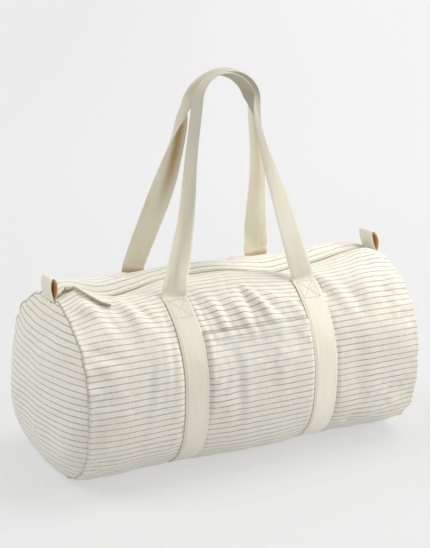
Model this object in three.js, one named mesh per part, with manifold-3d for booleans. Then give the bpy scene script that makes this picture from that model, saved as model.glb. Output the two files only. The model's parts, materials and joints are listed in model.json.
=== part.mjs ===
// A barrel weekender bag: a striped canvas barrel with two round ends, two long webbing carry
// handles that run on as bands under the bag, a zip along the top and a flat front pocket.
// Millimetres. +X runs along the bag, -Y is the pocket side, +Z is up, and the origin is on the
// ground under the middle of the bag.
import * as THREE from "three";
import { mergeVertices } from "three/addons/utils/BufferGeometryUtils.js";
import Module from "manifold-3d";

const wasm = await Module();
wasm.setup();

// ---- Driving dimensions -------------------------------------------------------------------
const GAP = 0.3; // clearance between pieces that touch
const BODY_LENGTH = 552; // from end seam to end seam
const BODY_WIDTH = 292;
const BODY_TOP = 280; // height above the ground that the round section would reach
const ZIP_DIP = 8; // how far the zip seam sinks below that
const END_BULGE = 27; // how far each round end stands out past its seam
const CANVAS = 2; // wall of the barrel and the ends
const WEBBING = 2.4; // thickness of the bands, handles and tabs
const WEBBING_WIDTH = 38;
const BAND_X = 108; // each band's middle, either side of the bag's middle
const LEAVE_ANGLE = 30; // where a band leaves the barrel, in degrees of section from the top
const POCKET_ANGLES = [57, 162]; // from its open top edge to its foot under the bag
const POCKET_CANVAS = 1.6;
const STITCH_ANGLES = [32.5, 40]; // within one facet of the section
const ZIP_HALF_LENGTH = 266;
const SLIDER_X = -246; // the slider at its closed end
const HANDLE_KNEE = 115; // from the leave line up to where a handle folds
const LEG_GAP = 8; // from the fold line at the barrel to the end of a handle's leg
const KNEE_GAP = 26; // between a leg and the loop, so that the turned webbing clears as it folds

// ---- Section of the barrel ----------------------------------------------------------------
// A soft superellipse, flatter underneath than on top, with a flat facet at the bottom and a
// sunken one at the top for the zip. Angles run from the top towards the pocket side.
const BASE = WEBBING + GAP; // the barrel stands on its bands
const SECTION_SIDES = 40;
const SIDE_ANGLE = 360 / SECTION_SIDES;
const ROUNDNESS_TOP = 1.95;
const ROUNDNESS_BOTTOM = 2.8;
const HALF_HEIGHT = (BODY_TOP - BASE) / 2;
const radians = THREE.MathUtils.degToRad;
const power = (value, p) => Math.sign(value) * Math.abs(value) ** p;

function sectionCorner(i) {
  const angle = radians((i + 0.5) * SIDE_ANGLE);
  const p = 2 / (Math.cos(angle) > 0 ? ROUNDNESS_TOP : ROUNDNESS_BOTTOM);
  const facet = Math.cos(radians(SIDE_ANGLE / 2)); // puts the bottom facet at full depth
  const besideZip = Math.cos(angle) > Math.cos(radians(SIDE_ANGLE));
  return new THREE.Vector2(
    (-BODY_WIDTH / 2) * power(Math.sin(angle), p),
    BASE + HALF_HEIGHT * (1 + power(Math.cos(angle), p) / facet ** p) - (besideZip ? ZIP_DIP : 0),
  );
}

// The corner moved straight out of the section by offset, with both its sides kept parallel.
function offsetCorner(i, offset) {
  const [before, at, after] = [i - 1, i, i + 1].map(sectionCorner);
  const normal = (a, b) => new THREE.Vector2(b.y - a.y, a.x - b.x).normalize();
  const first = normal(before, at);
  const second = normal(at, after);
  const out = first.clone().add(second).normalize();
  return at.addScaledVector(out, offset / out.dot(first));
}

// The point (y, z) on the section at an angle, offset outwards.
function onSection(degrees, offset = 0) {
  const place = degrees / SIDE_ANGLE - 0.5;
  const i = Math.floor(place);
  return offsetCorner(i, offset).lerp(offsetCorner(i + 1, offset), place - i);
}

// All the angles from one to another at which an outline has to have a point.
function sectionAngles(from, to) {
  const angles = [from];
  const firstCorner = Math.ceil(from / SIDE_ANGLE - 0.5 + 1e-6);
  for (let i = firstCorner; (i + 0.5) * SIDE_ANGLE < to - 1e-6; i++)
    angles.push((i + 0.5) * SIDE_ANGLE);
  angles.push(to);
  return angles;
}

// ---- Solids -------------------------------------------------------------------------------
// The closed solid through a row of rings, each a list of Vector3 going round the same way.
function loft(rings) {
  const size = rings[0].length;
  const positions = rings.flat().flatMap((p) => [p.x, p.y, p.z]);
  const index = [];
  for (let r = 0; r + 1 < rings.length; r++)
    for (let k = 0; k < size; k++) {
      const [a, b] = [r * size + k, r * size + ((k + 1) % size)];
      index.push(a, b, b + size, a, b + size, a + size);
    }
  const last = (rings.length - 1) * size;
  for (let k = 1; k + 1 < size; k++) {
    index.push(0, k + 1, k);
    index.push(last, last + k, last + k + 1);
  }
  const geometry = new THREE.BufferGeometry();
  geometry.setAttribute("position", new THREE.Float32BufferAttribute(positions, 3));
  geometry.setIndex(index);
  return facingOut(geometry);
}

function facingOut(geometry) {
  const index = geometry.index.array;
  const corner = (i) => new THREE.Vector3().fromBufferAttribute(geometry.attributes.position, index[i]);
  let volume = 0;
  for (let i = 0; i < index.length; i += 3)
    volume += corner(i).dot(corner(i + 1).cross(corner(i + 2)));
  if (volume < 0) geometry.setIndex([...index].reverse());
  geometry.computeVertexNormals();
  return geometry;
}

function toSolid(geometry) {
  const plain = geometry.clone();
  plain.deleteAttribute("normal");
  plain.deleteAttribute("uv");
  const merged = mergeVertices(plain, 1e-4);
  return new wasm.Manifold(
    new wasm.Mesh({
      numProp: 3,
      vertProperties: new Float32Array(merged.attributes.position.array),
      triVerts: new Uint32Array(merged.index.array),
    }),
  );
}

function join(geometries) {
  const whole = geometries.map(toSolid).reduce((a, b) => a.add(b));
  const mesh = whole.getMesh();
  const geometry = new THREE.BufferGeometry();
  geometry.setAttribute("position", new THREE.Float32BufferAttribute(mesh.vertProperties, 3));
  geometry.setIndex([...mesh.triVerts]);
  return geometry;
}

// A box between two corners.
function box(low, high) {
  const size = high.map((value, k) => value - low[k]);
  const middle = high.map((value, k) => (value + low[k]) / 2);
  return new THREE.BoxGeometry(...size).translate(...middle);
}

// A sheet that follows the section from one angle to another, between two x and two offsets.
function wrap(from, to, [xLow, xHigh], [inner, outer]) {
  return loft(
    sectionAngles(from, to).map((angle) => {
      const a = onSection(angle, inner);
      const b = onSection(angle, outer);
      return [
        new THREE.Vector3(xLow, a.x, a.y),
        new THREE.Vector3(xHigh, a.x, a.y),
        new THREE.Vector3(xHigh, b.x, b.y),
        new THREE.Vector3(xLow, b.x, b.y),
      ];
    }),
  );
}

// ---- Barrel, ends, pocket and bands -------------------------------------------------------
const SLOT_HALF = 5.5; // half the slot that the zip shows through
const SLOT_ANGLE = ((SLOT_HALF / Math.abs(sectionCorner(0).x)) * SIDE_ANGLE) / 2;
const SEAM_X = BODY_LENGTH / 2;
const BAND_OFFSETS = [GAP, GAP + WEBBING];
const acrossBand = (x) => [x - WEBBING_WIDTH / 2, x + WEBBING_WIDTH / 2];

const barrel = () => wrap(SLOT_ANGLE, 360 - SLOT_ANGLE, [-SEAM_X, SEAM_X], [-CANVAS, 0]);

const band = (x) => wrap(LEAVE_ANGLE, 360 - LEAVE_ANGLE, acrossBand(x), BAND_OFFSETS);

function pocket() {
  const reach = BAND_X - WEBBING_WIDTH / 2 - GAP;
  return wrap(...POCKET_ANGLES, [-reach, reach], [GAP, GAP + POCKET_CANVAS]);
}

// A round end: a domed disc of canvas, with side -1 at the left and 1 at the right.
function endPanel(side) {
  const seam = SEAM_X + GAP;
  const middle = new THREE.Vector2(0, BODY_TOP / 2);
  const dome = (share) => END_BULGE * (1 - share ** 2.4);
  const ring = (share, rise) =>
    Array.from({ length: SECTION_SIDES }, (_, i) => {
      const p = sectionCorner(i + SECTION_SIDES / 2).sub(middle).multiplyScalar(share).add(middle);
      return new THREE.Vector3(side * (seam + rise), p.x, p.y);
    });
  const shares = [0.2, 0.45, 0.68, 0.87];
  return loft([
    ...shares.map((share) => ring(share, dome(share))),
    ring(1, 0),
    ring(0.965, 0),
    ...shares.reverse().map((share) => ring(share, dome(share) - CANVAS)),
  ]);
}

// The bound seam allowance that stands inwards all round, just inside an end seam.
function seamBinding(side) {
  const [outerEdge, innerEdge, thickness] = [-CANVAS - GAP, -12, 2.5];
  const outline = (offset) =>
    Array.from({ length: SECTION_SIDES }, (_, i) => offsetCorner(i, offset));
  const shape = new THREE.Shape(outline(outerEdge));
  shape.holes.push(new THREE.Path(outline(innerEdge)));
  const ring = new THREE.ExtrudeGeometry(shape, { depth: thickness, bevelEnabled: false });
  const turned = ring.applyMatrix4(
    new THREE.Matrix4().makeBasis(
      new THREE.Vector3(0, 1, 0),
      new THREE.Vector3(0, 0, 1),
      new THREE.Vector3(1, 0, 0),
    ),
  );
  return turned.translate(side * (SEAM_X - thickness / 2 - GAP) - thickness / 2, 0, 0);
}

// The box and cross of thread that holds a band where its handle leaves it. It lies flat on one
// facet of the band, on the pocket side with side -1 and behind with side 1.
function crossStitch(x, side) {
  const [thread, halfWidth, depth] = [1.4, 14, 0.6];
  const [upper, lower] = STITCH_ANGLES.map((angle) => onSection(angle, WEBBING + 2 * GAP));
  const halfHeight = upper.distanceTo(lower) / 2;
  const corners = [
    [halfWidth, halfHeight],
    [-halfWidth, halfHeight],
    [-halfWidth, -halfHeight],
    [halfWidth, -halfHeight],
  ].map((corner) => new THREE.Vector2(...corner));
  const shape = new THREE.Shape(corners);
  corners.forEach((corner, k) => {
    const next = corners[(k + 1) % corners.length];
    const triangle = [corner, next, new THREE.Vector2()];
    const middle = corner.clone().add(next).divideScalar(3);
    const inset = (p) => p.clone().sub(middle).multiplyScalar(1 - thread / 5).add(middle);
    shape.holes.push(new THREE.Path(triangle.map(inset)));
  });
  const down = new THREE.Vector3(0, side * Math.abs(lower.x - upper.x), lower.y - upper.y);
  down.normalize();
  const along = new THREE.Vector3(side, 0, 0);
  const place = new THREE.Matrix4().makeBasis(along, down, along.clone().cross(down));
  place.setPosition(x, (side * Math.abs(upper.x + lower.x)) / 2, (upper.y + lower.y) / 2);
  return new THREE.ExtrudeGeometry(shape, { depth, bevelEnabled: false }).applyMatrix4(place);
}

// ---- Handles ------------------------------------------------------------------------------
// A handle lies in a plane that leans in over the zip. In that plane its path is a straight leg,
// an arch and a straight leg, and the webbing makes a quarter turn on its way up each leg.
const PIVOT_OFFSET = 5.2; // from the barrel out to the fold line
const HANDLES = {
  front: { side: -1, apex: [-10, 571], archX: 10, archRadius: 52, slowLeg: 1 },
  rear: { side: 1, apex: [10, 581], archX: 12, archRadius: 60, slowLeg: -1 },
};

function handlePlane({ side, apex }) {
  const leave = onSection(LEAVE_ANGLE, PIVOT_OFFSET);
  const base = new THREE.Vector2(side * Math.abs(leave.x), leave.y);
  const up = new THREE.Vector2(...apex).sub(base);
  const height = up.length();
  up.normalize();
  const outwards = new THREE.Vector3(0, -up.y, up.x).multiplyScalar(-side);
  return { base, up, height, outwards };
}

// The webbing's turn, from 0 flat against the bag to 1 edge on to it, at a share of the leg.
const quickTurn = (share) => 1 - (1 - share) ** 3;
const slowTurn = (share) => 0.29 * Math.min(1, share * 5) + 0.71 * share ** 6;

// Points of the path from the left leave line to the right one: place, direction and turn.
function handlePath(handle) {
  const { height } = handlePlane(handle);
  const centre = new THREE.Vector2(handle.archX, height - handle.archRadius);
  const legs = [-1, 1].map((side) => {
    const foot = new THREE.Vector2(side * BAND_X, 0);
    const reach = centre.clone().sub(foot);
    const bend = Math.asin(handle.archRadius / reach.length());
    const length = Math.sqrt(reach.lengthSq() - handle.archRadius ** 2);
    const direction = reach.normalize().rotateAround(new THREE.Vector2(), -side * bend);
    const turn = side === handle.slowLeg ? slowTurn : quickTurn;
    return { side, foot, direction, length, turn };
  });
  const legPoint = ({ foot, direction, turn, length }, along) => ({
    at: foot.clone().addScaledVector(direction, along),
    direction,
    turn: turn(along / length),
  });
  const archEnds = legs.map(({ foot, direction, length }) =>
    foot.clone().addScaledVector(direction, length).sub(centre).angle(),
  );
  const archSteps = 12;
  const arch = Array.from({ length: archSteps + 1 }, (_, k) => {
    const angle = archEnds[0] + ((archEnds[1] - archEnds[0]) * k) / archSteps;
    const radius = new THREE.Vector2(Math.cos(angle), Math.sin(angle));
    return {
      at: centre.clone().addScaledVector(radius, handle.archRadius),
      direction: new THREE.Vector2(radius.y, -radius.x),
      turn: 1,
    };
  });
  return { legs, legPoint, arch };
}

// The webbing's four corners at a point of the path, in the bag's own space.
function handleRing(handle, { at, direction, turn }, travel = 1) {
  const { base, up, outwards } = handlePlane(handle);
  const inSpace = (v) => new THREE.Vector3(v.x, v.y * up.x, v.y * up.y);
  const tangent = inSpace(direction).multiplyScalar(travel);
  const flat = inSpace(new THREE.Vector2(direction.y, -direction.x)).multiplyScalar(travel);
  const across = flat
    .multiplyScalar(Math.cos((turn * Math.PI) / 2))
    .addScaledVector(outwards, Math.sin((turn * Math.PI) / 2));
  const through = across.clone().cross(tangent).setLength(WEBBING / 2);
  across.setLength(WEBBING_WIDTH / 2);
  const middle = inSpace(at).add(new THREE.Vector3(0, base.x, base.y));
  return [
    [-1, -1],
    [1, -1],
    [1, 1],
    [-1, 1],
  ].map(([a, b]) => middle.clone().addScaledVector(across, a).addScaledVector(through, b));
}

const spaced = (from, to, steps) =>
  Array.from({ length: steps + 1 }, (_, k) => from + ((to - from) * k) / steps);

function handleLeg(handle, side) {
  const { legs, legPoint } = handlePath(handle);
  const leg = legs.find((one) => one.side === side);
  const top = (HANDLE_KNEE - KNEE_GAP / 2) / leg.direction.y;
  return loft(
    spaced(LEG_GAP, top, 12).map((along) => handleRing(handle, legPoint(leg, along), -side)),
  );
}

function handleLoop(handle) {
  const { legs, legPoint, arch } = handlePath(handle);
  const [left, right] = legs.map((leg) =>
    spaced((HANDLE_KNEE + KNEE_GAP / 2) / leg.direction.y, leg.length, 6)
      .slice(0, -1)
      .map((along) => handleRing(handle, legPoint(leg, along), -leg.side)),
  );
  const over = arch.map((point) => handleRing(handle, point));
  return loft([...left, ...over, ...right.reverse()]);
}

// ---- Zip ----------------------------------------------------------------------------------
const ZIP_TOP = onSection(0).y; // the barrel's sunken top facet
const TAPE_TOP = ZIP_TOP - CANVAS - 1;
const STOP = { length: 3, half: 4, height: 0.8, inset: 8 };
const TAPE = { inner: 0.8, outer: 14, thickness: 1.2 };
const COIL = { inner: 0.7, outer: 3.1, height: 2.4 };
const SLIDER = { length: 12, half: 4.5, plate: 1.6, post: 0.4 };
const BAIL = { half: 4.2, bar: 1.4, rise: 3.2 };

// One half of the zip, with side -1 at the pocket side.
function zipStrip(side, inner, outer, low, high) {
  const [a, b] = [side * inner, side * outer].sort((p, q) => p - q);
  return box([-ZIP_HALF_LENGTH, a, low], [ZIP_HALF_LENGTH, b, high]);
}

const zipTape = (side) =>
  zipStrip(side, TAPE.inner, TAPE.outer, TAPE_TOP - TAPE.thickness, TAPE_TOP);

const zipCoil = (side) =>
  zipStrip(side, COIL.inner, COIL.outer, TAPE_TOP + GAP, TAPE_TOP + GAP + COIL.height);

const COIL_TOP = TAPE_TOP + GAP + COIL.height;

const zipStop = (x) =>
  box(
    [x - STOP.length / 2, -STOP.half, COIL_TOP + GAP],
    [x + STOP.length / 2, STOP.half, COIL_TOP + GAP + STOP.height],
  );

// The slider's two plates pass above and below the coil, joined by a thin post between its
// halves, with a bail on top for the puller.
function zipSlider() {
  const under = TAPE_TOP - TAPE.thickness - GAP;
  const over = COIL_TOP + GAP;
  const [back, front] = [SLIDER_X - SLIDER.length / 2, SLIDER_X + SLIDER.length / 2];
  const barLow = over + SLIDER.plate + BAIL.rise - BAIL.bar / 2;
  const flange = (a, b) => box([back, a, TAPE_TOP + 0.6], [front, b, over + 0.2]);
  const bailPost = (x) =>
    box([x, -1.2, over + SLIDER.plate - 0.2], [x + BAIL.bar, 1.2, barLow + BAIL.bar]);
  return join([
    box([back, -SLIDER.half, over], [front, SLIDER.half, over + SLIDER.plate]),
    box([back, -SLIDER.half, under - SLIDER.plate], [front, SLIDER.half, under]),
    box([back, -SLIDER.post, under - 0.2], [back + 3, SLIDER.post, over + 0.2]),
    flange(-SLIDER.half, -(COIL.outer + GAP)),
    flange(COIL.outer + GAP, SLIDER.half),
    bailPost(SLIDER_X - BAIL.half),
    bailPost(SLIDER_X + BAIL.half - BAIL.bar),
    box(
      [SLIDER_X - BAIL.half, -BAIL.bar / 2, barLow],
      [SLIDER_X + BAIL.half, BAIL.bar / 2, barLow + BAIL.bar],
    ),
  ]);
}

// A folded cotton strip, looped round the slider's bail and hanging over the pocket side.
function zipPuller() {
  const [width, thickness, clearance, steps] = [4.2, 1.8, 1.4, 14];
  const barZ = COIL_TOP + GAP + SLIDER.plate + BAIL.rise;
  const eye = new THREE.Shape();
  eye.absarc(0, 0, 2.7, 0, Math.PI * 2);
  eye.holes.push(new THREE.Path().absarc(0, 0, 1.5, 0, Math.PI * 2));
  const ring = new THREE.ExtrudeGeometry(eye, { depth: 4.8, bevelEnabled: false, curveSegments: 8 })
    .rotateY(Math.PI / 2)
    .translate(SLIDER_X - 2.4, 0, barZ);
  const onTop = (x, angle) => {
    const p = onSection(angle, thickness / 2 + clearance);
    return new THREE.Vector3(x, p.x, p.y);
  };
  const line = new THREE.CatmullRomCurve3([
    new THREE.Vector3(SLIDER_X, -1.9, barZ - 0.4),
    new THREE.Vector3(SLIDER_X + 1, -9, barZ - 1.4),
    onTop(SLIDER_X + 5, 9),
    onTop(SLIDER_X + 10, 13.5),
    onTop(SLIDER_X + 21, 19),
    onTop(SLIDER_X + 36, 22.5),
  ]);
  const strip = loft(
    Array.from({ length: steps + 1 }, (_, k) => {
      const at = line.getPoint(k / steps);
      const along = line.getTangent(k / steps);
      const across = new THREE.Vector3(-along.y, along.x, 0).setLength(width / 2);
      const through = across.clone().cross(along).setLength(thickness / 2);
      const corners = [
        [-1, -1],
        [1, -1],
        [1, 1],
        [-1, 1],
      ];
      return corners.map(([a, b]) =>
        at.clone().addScaledVector(across, a).addScaledVector(through, b),
      );
    }),
  );
  return join([ring, strip]);
}

// ---- Tabs ---------------------------------------------------------------------------------
// A loop of folded webbing that stands over each end of the zip, sewn into the end seam.
const TAB = { foot: 2.6, half: 7, waist: 15, height: 31 };
const [zipEdge, crown] = [0, 1].map(sectionCorner);
const TAB_SHARE = (WEBBING_WIDTH / 2 + zipEdge.x) / (zipEdge.x - crown.x);
const TAB_FLOOR = zipEdge.clone().lerp(crown, TAB_SHARE).y + GAP; // clears the slope beside the zip

function tab(side) {
  const outline = (path, inset) => {
    const [half, bottom] = [TAB.half - inset, inset * 1.6];
    const shoulder = TAB.height - TAB.half;
    const foot = Math.max(0.1, TAB.foot - inset);
    path.moveTo(foot, bottom);
    path.quadraticCurveTo(half, TAB.waist / 2, half, TAB.waist);
    path.lineTo(half, shoulder);
    path.absarc(0, shoulder, half, 0, Math.PI);
    path.lineTo(-half, TAB.waist);
    path.quadraticCurveTo(-half, TAB.waist / 2, -foot, bottom);
    path.closePath();
    return path;
  };
  const shape = outline(new THREE.Shape(), 0);
  shape.holes.push(outline(new THREE.Path(), WEBBING));
  return new THREE.ExtrudeGeometry(shape, {
    depth: WEBBING_WIDTH,
    bevelEnabled: false,
    curveSegments: 8,
  })
    .rotateX(Math.PI / 2)
    .translate(side * (SEAM_X + 2), WEBBING_WIDTH / 2, TAB_FLOOR);
}

// ---- The bag ------------------------------------------------------------------------------
const material = (color, roughness, metalness = 0) =>
  new THREE.MeshStandardMaterial({ color, roughness, metalness });
const canvas = material(0xd3d0c2, 0.95);
const webbing = material(0xe0ddd0, 0.9);
const cotton = material(0xded9c8, 0.9);
const tapeCloth = material(0xe4dcc4, 0.9);
const nylon = material(0xe6dfc8, 0.5);
const thread = material(0xdcd8c8, 0.8);
const metal = material(0xb9b6ae, 0.35, 0.9);

const bag = new THREE.Group();

function add(name, geometry, finish) {
  const mesh = new THREE.Mesh(geometry, finish);
  mesh.name = name;
  bag.add(mesh);
}

add("barrel_panel", barrel(), canvas);
add("front_pocket", pocket(), canvas);
add("zip_slider", zipSlider(), metal);
add("zip_puller", zipPuller(), cotton);

const bySide = [
  [-1, "left"],
  [1, "right"],
];
for (const [side, word] of bySide) {
  add(`end_panel_${word}`, endPanel(side), canvas);
  add(`seam_binding_${word}`, seamBinding(side), cotton);
  add(`band_${word}`, band(side * BAND_X), webbing);
  add(`tab_${word}`, tab(side), webbing);
  add(`zip_stop_${word}`, zipStop(side * (ZIP_HALF_LENGTH - STOP.inset)), thread);
}

for (const [name, handle] of Object.entries(HANDLES)) {
  add(`zip_tape_${name}`, zipTape(handle.side), tapeCloth);
  add(`zip_coil_${name}`, zipCoil(handle.side), nylon);
  add(`${name}_handle_loop`, handleLoop(handle), webbing);
  for (const [side, word] of bySide) {
    add(`${name}_handle_leg_${word}`, handleLeg(handle, side), webbing);
    add(`cross_stitch_${name}_${word}`, crossStitch(side * BAND_X, handle.side), thread);
  }
}

export default bag;
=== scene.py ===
# The looks of a barrel weekender bag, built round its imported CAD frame. Metres.
# +X runs along the bag, -Y is the pocket side and +Z is up.
import json
import math

import bpy
import numpy as np
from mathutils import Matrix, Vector


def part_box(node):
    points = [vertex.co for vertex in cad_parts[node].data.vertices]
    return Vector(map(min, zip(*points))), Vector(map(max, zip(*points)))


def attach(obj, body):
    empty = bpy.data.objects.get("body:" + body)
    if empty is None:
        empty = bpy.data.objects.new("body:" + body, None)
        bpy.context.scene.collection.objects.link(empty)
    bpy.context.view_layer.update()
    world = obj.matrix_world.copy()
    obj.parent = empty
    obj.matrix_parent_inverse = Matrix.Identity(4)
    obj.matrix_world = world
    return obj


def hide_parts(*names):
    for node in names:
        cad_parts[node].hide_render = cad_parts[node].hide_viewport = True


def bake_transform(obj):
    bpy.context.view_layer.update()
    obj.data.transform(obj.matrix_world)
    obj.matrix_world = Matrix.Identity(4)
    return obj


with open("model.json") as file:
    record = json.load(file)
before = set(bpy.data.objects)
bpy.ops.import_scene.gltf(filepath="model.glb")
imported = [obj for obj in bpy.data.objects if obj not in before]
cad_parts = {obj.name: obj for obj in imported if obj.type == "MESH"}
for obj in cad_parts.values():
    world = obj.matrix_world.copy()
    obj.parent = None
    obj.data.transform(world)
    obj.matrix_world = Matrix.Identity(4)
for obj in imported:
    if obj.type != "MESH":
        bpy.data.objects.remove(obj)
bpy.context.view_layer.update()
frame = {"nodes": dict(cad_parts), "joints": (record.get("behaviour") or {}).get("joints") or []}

MM = 0.001

# ---- Driving dimensions ----
BARREL_LOW, BARREL_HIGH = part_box("barrel_panel")
SEAM_X = BARREL_HIGH.x
BODY_WIDTH = 292 * MM
BODY_TOP = 280 * MM  # the height that the round section would reach
BASE = BARREL_LOW.z
HALF_HEIGHT = (BODY_TOP - BASE) / 2
ROUNDNESS_TOP = 1.95
ROUNDNESS_BOTTOM = 2.8
END_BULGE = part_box("end_panel_right")[1].x - SEAM_X
ZIP_DIP = 8 * MM
ZIP_DIP_REACH = 21 * MM
SLOT_HALF = 3.4 * MM  # half the gap that the zip shows through
WEBBING = 2.4 * MM
WEBBING_WIDTH = 38 * MM
RIB_PITCH = 1.9 * MM
BAND_X = (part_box("band_right")[0].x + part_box("band_right")[1].x) / 2
BAND_OFFSET = 0.3 * MM + WEBBING / 2
LEAVE_ANGLE = math.radians(30)
POCKET_ANGLES = [math.radians(57), math.radians(162)]
STRIPE_PITCH = 9 * MM
STRIPE_WIDTH = 1.6 * MM
YARN_PITCH = 1.5 * MM
CANVAS = 1.2 * MM
SEAM_DEPTH = 3 * MM  # how deep an end seam lies in the canvas
INNER_BELLY = 2.6 * MM  # how far the canvas bellies out between the bands
OUTER_BELLY = 2.4 * MM  # the same between a band and an end seam
SWELL = 1.5 * MM
CRUMPLE = 0.9 * MM
PUCKER = 0.5 * MM
GATHER = 1.3 * MM
SHOULDER_SLUMP = 7 * MM
END_TUCK = 5 * MM
BAND_PRESS = 0.4 * MM  # how far a band presses the canvas in
LOWEST_CANVAS = 0.9 * MM
FOLD_DIP = 0.45  # the dip beside a fold, as a share of its height
FOLD_DIP_AT = 1.9  # how far from the fold's ridge it lies, in widths

rng = np.random.default_rng(7)


# ---- Small maths ----
def smooth(low, high, value):
    """0 below low, 1 above high, with a soft step between them."""
    t = np.clip((value - low) / (high - low), 0, 1)
    return t * t * (3 - 2 * t)


def hump(value, width, middle=0.0):
    """A bell curve: 1 at the middle, and 1/e at that width from it."""
    return np.exp(-(((value - middle) / width) ** 2))


def through(points):
    """A smooth function of one number that passes through the points, with a level start and end."""
    xs = np.array([p[0] for p in points]) * MM
    ys = np.array([p[1] for p in points]) * MM
    slopes = np.zeros(len(xs))
    slopes[1:-1] = (ys[2:] - ys[:-2]) / (xs[2:] - xs[:-2])

    def at(x):
        k = np.clip(np.searchsorted(xs, x) - 1, 0, len(xs) - 2)
        span = xs[k + 1] - xs[k]
        t = np.clip((x - xs[k]) / span, 0, 1)
        start = (1 + 2 * t) * (1 - t) ** 2 * ys[k] + t * (1 - t) ** 2 * span * slopes[k]
        end = t * t * (3 - 2 * t) * ys[k + 1] + t * t * (t - 1) * span * slopes[k + 1]
        return start + end

    return at


def catmull(points, count):
    """A smooth curve through points."""
    points = np.asarray(points, float)
    padded = np.concatenate([2 * points[:1] - points[1:2], points, 2 * points[-1:] - points[-2:-1]])
    place = np.linspace(0, len(points) - 1 - 1e-9, count)
    k = place.astype(int)
    t = (place - k)[:, None]
    p0, p1, p2, p3 = (padded[k + i] for i in range(4))
    return 0.5 * (2 * p1 + (p2 - p0) * t + (2 * p0 - 5 * p1 + 4 * p2 - p3) * t * t
                  + (3 * p1 - p0 - 3 * p2 + p3) * t**3)


def unit(v):
    return v / np.linalg.norm(v, axis=-1, keepdims=True)


def stacked(*parts):
    """Arrays joined along a new last axis, such as x, y and z into places."""
    return np.stack(np.broadcast_arrays(*parts), -1)


def tangents(places):
    """Directions along a line of places."""
    return unit(np.gradient(places, axis=0))


def run_lengths(places):
    """How far along a line of places each of them lies."""
    return np.concatenate([[0], np.cumsum(np.linalg.norm(np.diff(places, axis=0), axis=1))])


def ripple(count, longest, shortest):
    """A soft random surface of about -1 to 1, made of crossing waves between two lengths."""
    lengths = np.geomspace(longest, shortest, count)
    angles = rng.uniform(0, 2 * math.pi, count)
    phases = rng.uniform(0, 2 * math.pi, count)
    weights = (lengths / longest) ** 0.8

    def at(x, s):
        total = np.zeros(np.broadcast(x, s).shape)
        for length, angle, phase, weight in zip(lengths, angles, phases, weights):
            along = x * math.cos(angle) + s * math.sin(angle)
            total += weight * np.sin(2 * math.pi * along / length + phase)
        return total / math.sqrt(np.sum(weights**2))

    return at


# ---- Section of the barrel ----
# A place on the barrel is x and s: s runs along the section from the top, positive towards the
# pocket side.
def section_at(angle):
    """Half width and height of the section at an angle from the top."""
    p = 2 / np.where(np.cos(angle) > 0, ROUNDNESS_TOP, ROUNDNESS_BOTTOM)
    out = BODY_WIDTH / 2 * np.abs(np.sin(angle)) ** p
    up = BASE + HALF_HEIGHT * (1 + np.sign(np.cos(angle)) * np.abs(np.cos(angle)) ** p)
    return out, up


ANGLES = np.linspace(0, math.pi, 3000)
OUTS, UPS = section_at(ANGLES)
ARCS = run_lengths(stacked(OUTS, UPS))
HALF_ROUND = ARCS[-1]
LEAN = np.unwrap(np.arctan2(np.gradient(UPS, ARCS), np.gradient(OUTS, ARCS)))


def arc_of(angle):
    return float(np.interp(angle, ANGLES, ARCS))


def arc_from_top(s):
    """Length of section between the top and s, the shorter way round."""
    return np.minimum(np.abs(s), 2 * HALF_ROUND - np.abs(s))


def signed_arc(s):
    """s with the rear side counted backwards from the top, as a negative length."""
    return np.where(s > HALF_ROUND, s - 2 * HALF_ROUND, s)


def on_section(s, offset=0.0):
    """y and z on the section at s, moved outwards by offset."""
    around = arc_from_top(s)
    side = np.where(np.abs(s) > HALF_ROUND, -np.sign(s), np.sign(s))
    lean = np.interp(around, ARCS, LEAN)
    out = np.interp(around, ARCS, OUTS) - np.sin(lean) * offset
    up = np.interp(around, ARCS, UPS) + np.cos(lean) * offset
    return -side * out, up


LEAVE_ARC = arc_of(LEAVE_ANGLE)
POCKET_ARCS = [arc_of(a) for a in POCKET_ANGLES]

# ---- How the canvas lies ----
# The zip seam wanders forwards and sinks where the canvas slumps; in millimetres along the bag.
zip_shift = through(
    [(-276, 0), (-236, 0), (-195, 20), (-150, 15), (-100, 4), (-40, 3), (10, 6), (50, 14),
     (85, 21), (120, 18), (165, 14), (200, 8), (230, 0), (276, 0)]
)
zip_sag = through(
    [(-276, 1), (-238, 1), (-200, 11), (-150, 9), (-100, 2.5), (-30, 1), (20, 2), (60, 7),
     (90, 11), (130, 8), (170, 6), (205, 2.5), (228, 1), (276, 1)]
)
top_droop = through([(-276, 11), (-262, 6), (-250, 0.5), (-235, 0), (252, 0), (264, 1.5), (276, 5)])

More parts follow.
